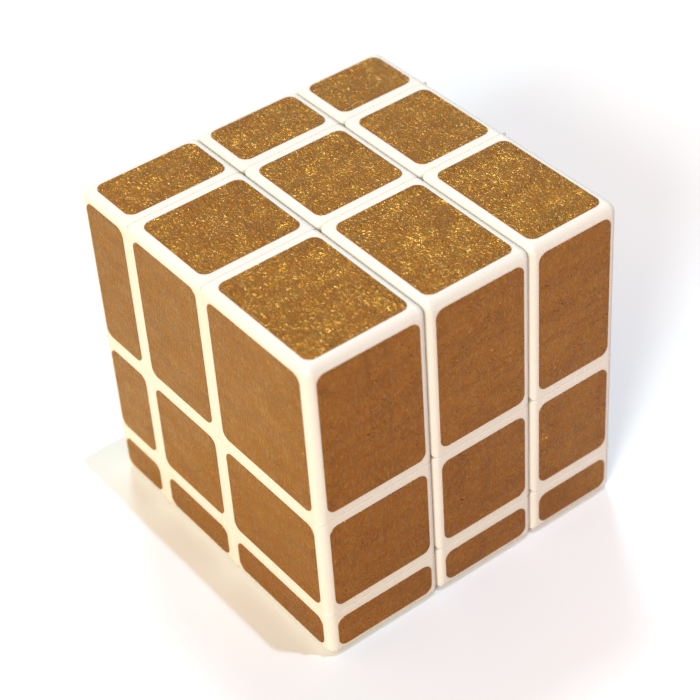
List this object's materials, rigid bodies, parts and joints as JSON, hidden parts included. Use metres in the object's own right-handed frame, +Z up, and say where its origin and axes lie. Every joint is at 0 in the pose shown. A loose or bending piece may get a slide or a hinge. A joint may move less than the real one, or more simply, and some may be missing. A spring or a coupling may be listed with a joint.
{
  "type": "mirror block puzzle cube",
  "caption": "Three-by-three mirror block puzzle cube: ivory blocks of unequal thickness faced in gold foil, turning about a sprung core",
  "frame": {"origin": "centre of the flat underside of the solved cube", "axes": "+Z up through the top layer, +X to the right face, +Y to the back face; the puzzle stands solved on its thin bottom layer"},
  "size_m": [0.057, 0.057, 0.057],
  "materials": {
    "ivory_plastic": "satin moulded ivory-white plastic",
    "gold_foil": "crinkled gold foil stickers on every outer block face; drawn in the visual only",
    "core_plastic": "matte white moulding",
    "screw_steel": "plated steel",
    "washer_steel": "plated steel",
    "spring_steel": "bare spring wire"
  },
  "bodies": {
    "core": {"core_spider": "core_plastic", "screw_top": "screw_steel", "spring_top": "spring_steel", "washer_top": "washer_steel", "screw_bottom": "screw_steel", "spring_bottom": "spring_steel", "washer_bottom": "washer_steel", "screw_back": "screw_steel", "spring_back": "spring_steel", "washer_back": "washer_steel", "screw_front": "screw_steel", "spring_front": "spring_steel", "washer_front": "washer_steel", "screw_right": "screw_steel", "spring_right": "spring_steel", "washer_right": "washer_steel", "screw_left": "screw_steel", "spring_left": "spring_steel", "washer_left": "washer_steel"},
    "centre_top": {"centre_top_block": "ivory_plastic", "centre_top_cap": "ivory_plastic"},
    "centre_bottom": {"centre_bottom_block": "ivory_plastic", "centre_bottom_cap": "ivory_plastic"},
    "centre_back": {"centre_back_block": "ivory_plastic", "centre_back_cap": "ivory_plastic"},
    "centre_front": {"centre_front_block": "ivory_plastic", "centre_front_cap": "ivory_plastic"},
    "centre_right": {"centre_right_block": "ivory_plastic", "centre_right_cap": "ivory_plastic"},
    "centre_left": {"centre_left_block": "ivory_plastic", "centre_left_cap": "ivory_plastic"},
    "edge_back_right": {"edge_back_right": "ivory_plastic"},
    "edge_top_right": {"edge_top_right": "ivory_plastic"},
    "edge_bottom_right": {"edge_bottom_right": "ivory_plastic"},
    "edge_front_right": {"edge_front_right": "ivory_plastic"},
    "edge_top_back": {"edge_top_back": "ivory_plastic"},
    "edge_bottom_back": {"edge_bottom_back": "ivory_plastic"},
    "edge_top_front": {"edge_top_front": "ivory_plastic"},
    "edge_bottom_front": {"edge_bottom_front": "ivory_plastic"},
    "edge_back_left": {"edge_back_left": "ivory_plastic"},
    "edge_top_left": {"edge_top_left": "ivory_plastic"},
    "edge_bottom_left": {"edge_bottom_left": "ivory_plastic"},
    "edge_front_left": {"edge_front_left": "ivory_plastic"},
    "corner_top_back_right": {"corner_top_back_right_shell": "ivory_plastic", "corner_top_back_right_foot": "ivory_plastic"},
    "corner_bottom_back_right": {"corner_bottom_back_right_shell": "ivory_plastic", "corner_bottom_back_right_foot": "ivory_plastic"},
    "corner_top_front_right": {"corner_top_front_right_shell": "ivory_plastic", "corner_top_front_right_foot": "ivory_plastic"},
    "corner_bottom_front_right": {"corner_bottom_front_right_shell": "ivory_plastic", "corner_bottom_front_right_foot": "ivory_plastic"},
    "corner_top_back_left": {"corner_top_back_left_shell": "ivory_plastic", "corner_top_back_left_foot": "ivory_plastic"},
    "corner_bottom_back_left": {"corner_bottom_back_left_shell": "ivory_plastic", "corner_bottom_back_left_foot": "ivory_plastic"},
    "corner_top_front_left": {"corner_top_front_left_shell": "ivory_plastic", "corner_top_front_left_foot": "ivory_plastic"},
    "corner_bottom_front_left": {"corner_bottom_front_left_shell": "ivory_plastic", "corner_bottom_front_left_foot": "ivory_plastic"}
  },
  "joints": [
    {"name": "turn_top", "type": "hinge", "parent": "core", "child": "centre_top", "pos_m": [0.002, 0.006, 0.0185], "axis": [0, 0, 1], "continuous": true},
    {"name": "turn_bottom", "type": "hinge", "parent": "core", "child": "centre_bottom", "pos_m": [0.002, 0.006, 0.0185], "axis": [0, 0, -1], "continuous": true},
    {"name": "turn_back", "type": "hinge", "parent": "core", "child": "centre_back", "pos_m": [0.002, 0.006, 0.0185], "axis": [0, 1, 0], "continuous": true},
    {"name": "turn_front", "type": "hinge", "parent": "core", "child": "centre_front", "pos_m": [0.002, 0.006, 0.0185], "axis": [0, -1, 0], "continuous": true},
    {"name": "turn_right", "type": "hinge", "parent": "core", "child": "centre_right", "pos_m": [0.002, 0.006, 0.0185], "axis": [1, 0, 0], "continuous": true},
    {"name": "turn_left", "type": "hinge", "parent": "core", "child": "centre_left", "pos_m": [0.002, 0.006, 0.0185], "axis": [-1, 0, 0], "continuous": true},
    {"name": "edge_back_right_with_right", "type": "hinge", "parent": "centre_back", "child": "edge_back_right", "pos_m": [0.002, 0.006, 0.0185], "axis": [1, 0, 0], "continuous": true},
    {"name": "edge_top_right_with_top", "type": "hinge", "parent": "centre_right", "child": "edge_top_right", "pos_m": [0.002, 0.006, 0.0185], "axis": [0, 0, 1], "continuous": true},
    {"name": "edge_bottom_right_with_bottom", "type": "hinge", "parent": "centre_right", "child": "edge_bottom_right", "pos_m": [0.002, 0.006, 0.0185], "axis": [0, 0, -1], "continuous": true},
    {"name": "edge_front_right_with_right", "type": "hinge", "parent": "centre_front", "child": "edge_front_right", "pos_m": [0.002, 0.006, 0.0185], "axis": [1, 0, 0], "continuous": true},
    {"name": "edge_top_back_with_back", "type": "hinge", "parent": "centre_top", "child": "edge_top_back", "pos_m": [0.002, 0.006, 0.0185], "axis": [0, 1, 0], "continuous": true},
    {"name": "edge_bottom_back_with_back", "type": "hinge", "parent": "centre_bottom", "child": "edge_bottom_back", "pos_m": [0.002, 0.006, 0.0185], "axis": [0, 1, 0], "continuous": true},
    {"name": "edge_top_front_with_front", "type": "hinge", "parent": "centre_top", "child": "edge_top_front", "pos_m": [0.002, 0.006, 0.0185], "axis": [0, -1, 0], "continuous": true},
    {"name": "edge_bottom_front_with_front", "type": "hinge", "parent": "centre_bottom", "child": "edge_bottom_front", "pos_m": [0.002, 0.006, 0.0185], "axis": [0, -1, 0], "continuous": true},
    {"name": "edge_back_left_with_left", "type": "hinge", "parent": "centre_back", "child": "edge_back_left", "pos_m": [0.002, 0.006, 0.0185], "axis": [-1, 0, 0], "continuous": true},
    {"name": "edge_top_left_with_top", "type": "hinge", "parent": "centre_left", "child": "edge_top_left", "pos_m": [0.002, 0.006, 0.0185], "axis": [0, 0, 1], "continuous": true},
    {"name": "edge_bottom_left_with_bottom", "type": "hinge", "parent": "centre_left", "child": "edge_bottom_left", "pos_m": [0.002, 0.006, 0.0185], "axis": [0, 0, -1], "continuous": true},
    {"name": "edge_front_left_with_left", "type": "hinge", "parent": "centre_front", "child": "edge_front_left", "pos_m": [0.002, 0.006, 0.0185], "axis": [-1, 0, 0], "continuous": true},
    {"name": "corner_top_back_right_with_right", "type": "hinge", "parent": "edge_top_back", "child": "corner_top_back_right", "pos_m": [0.002, 0.006, 0.0185], "axis": [1, 0, 0], "continuous": true},
    {"name": "corner_bottom_back_right_with_right", "type": "hinge", "parent": "edge_bottom_back", "child": "corner_bottom_back_right", "pos_m": [0.002, 0.006, 0.0185], "axis": [1, 0, 0], "continuous": true},
    {"name": "corner_top_front_right_with_right", "type": "hinge", "parent": "edge_top_front", "child": "corner_top_front_right", "pos_m": [0.002, 0.006, 0.0185], "axis": [1, 0, 0], "continuous": true},
    {"name": "corner_bottom_front_right_with_right", "type": "hinge", "parent": "edge_bottom_front", "child": "corner_bottom_front_right", "pos_m": [0.002, 0.006, 0.0185], "axis": [1, 0, 0], "continuous": true},
    {"name": "corner_top_back_left_with_left", "type": "hinge", "parent": "edge_top_back", "child": "corner_top_back_left", "pos_m": [0.002, 0.006, 0.0185], "axis": [-1, 0, 0], "continuous": true},
    {"name": "corner_bottom_back_left_with_left", "type": "hinge", "parent": "edge_bottom_back", "child": "corner_bottom_back_left", "pos_m": [0.002, 0.006, 0.0185], "axis": [-1, 0, 0], "continuous": true},
    {"name": "corner_top_front_left_with_left", "type": "hinge", "parent": "edge_top_front", "child": "corner_top_front_left", "pos_m": [0.002, 0.006, 0.0185], "axis": [-1, 0, 0], "continuous": true},
    {"name": "corner_bottom_front_left_with_left", "type": "hinge", "parent": "edge_bottom_front", "child": "corner_bottom_front_left", "pos_m": [0.002, 0.006, 0.0185], "axis": [-1, 0, 0], "continuous": true}
  ],
  "couplings": [
    {"joint": "edge_back_right_with_right", "follows": "turn_right", "ratio": 1},
    {"joint": "edge_top_right_with_top", "follows": "turn_top", "ratio": 1},
    {"joint": "edge_bottom_right_with_bottom", "follows": "turn_bottom", "ratio": 1},
    {"joint": "edge_front_right_with_right", "follows": "turn_right", "ratio": 1},
    {"joint": "edge_top_back_with_back", "follows": "turn_back", "ratio": 1},
    {"joint": "edge_bottom_back_with_back", "follows": "turn_back", "ratio": 1},
    {"joint": "edge_top_front_with_front", "follows": "turn_front", "ratio": 1},
    {"joint": "edge_bottom_front_with_front", "follows": "turn_front", "ratio": 1},
    {"joint": "edge_back_left_with_left", "follows": "turn_left", "ratio": 1},
    {"joint": "edge_top_left_with_top", "follows": "turn_top", "ratio": 1},
    {"joint": "edge_bottom_left_with_bottom", "follows": "turn_bottom", "ratio": 1},
    {"joint": "edge_front_left_with_left", "follows": "turn_left", "ratio": 1},
    {"joint": "corner_top_back_right_with_right", "follows": "turn_right", "ratio": 1},
    {"joint": "corner_bottom_back_right_with_right", "follows": "turn_right", "ratio": 1},
    {"joint": "corner_top_front_right_with_right", "follows": "turn_right", "ratio": 1},
    {"joint": "corner_bottom_front_right_with_right", "follows": "turn_right", "ratio": 1},
    {"joint": "corner_top_back_left_with_left", "follows": "turn_left", "ratio": 1},
    {"joint": "corner_bottom_back_left_with_left", "follows": "turn_left", "ratio": 1},
    {"joint": "corner_top_front_left_with_left", "follows": "turn_left", "ratio": 1},
    {"joint": "corner_bottom_front_left_with_left", "follows": "turn_left", "ratio": 1}
  ]
}
